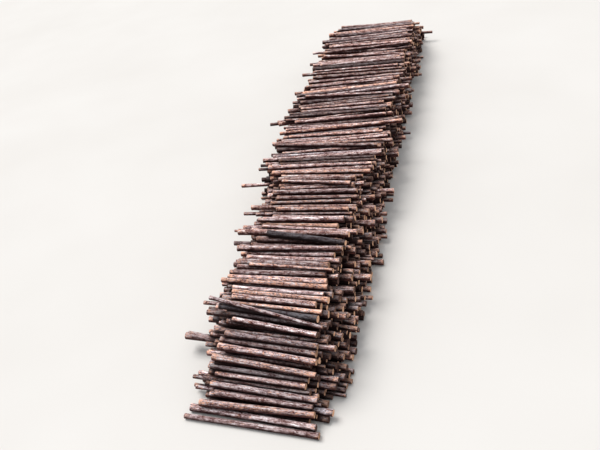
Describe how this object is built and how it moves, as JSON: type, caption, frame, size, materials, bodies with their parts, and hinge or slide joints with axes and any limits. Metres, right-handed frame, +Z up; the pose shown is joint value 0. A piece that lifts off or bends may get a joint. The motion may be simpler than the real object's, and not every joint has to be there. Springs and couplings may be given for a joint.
{
  "type": "stack of logs",
  "caption": "Long deck of reddish brown sawn logs laid across it in tiers, with ragged ends and sloping ends.",
  "frame": {"origin": "centre of the ground rectangle that the deck covers", "axes": "+Z up, +Y along the deck towards its far end, +X to the right, along the logs"},
  "size_m": [17.3988, 76.0424, 5.7397],
  "materials": {
    "bark": "rough bark"
  },
  "bodies": {
    "root": {"tier_01_logs": "bark", "tier_02_logs": "bark", "tier_03_logs": "bark", "tier_04_logs": "bark", "tier_05_logs": "bark", "tier_06_logs": "bark", "tier_07_logs": "bark", "tier_08_logs": "bark", "tier_09_logs": "bark", "tier_10_logs": "bark", "tier_11_logs": "bark", "tier_12_logs": "bark"}
  },
  "joints": []
}
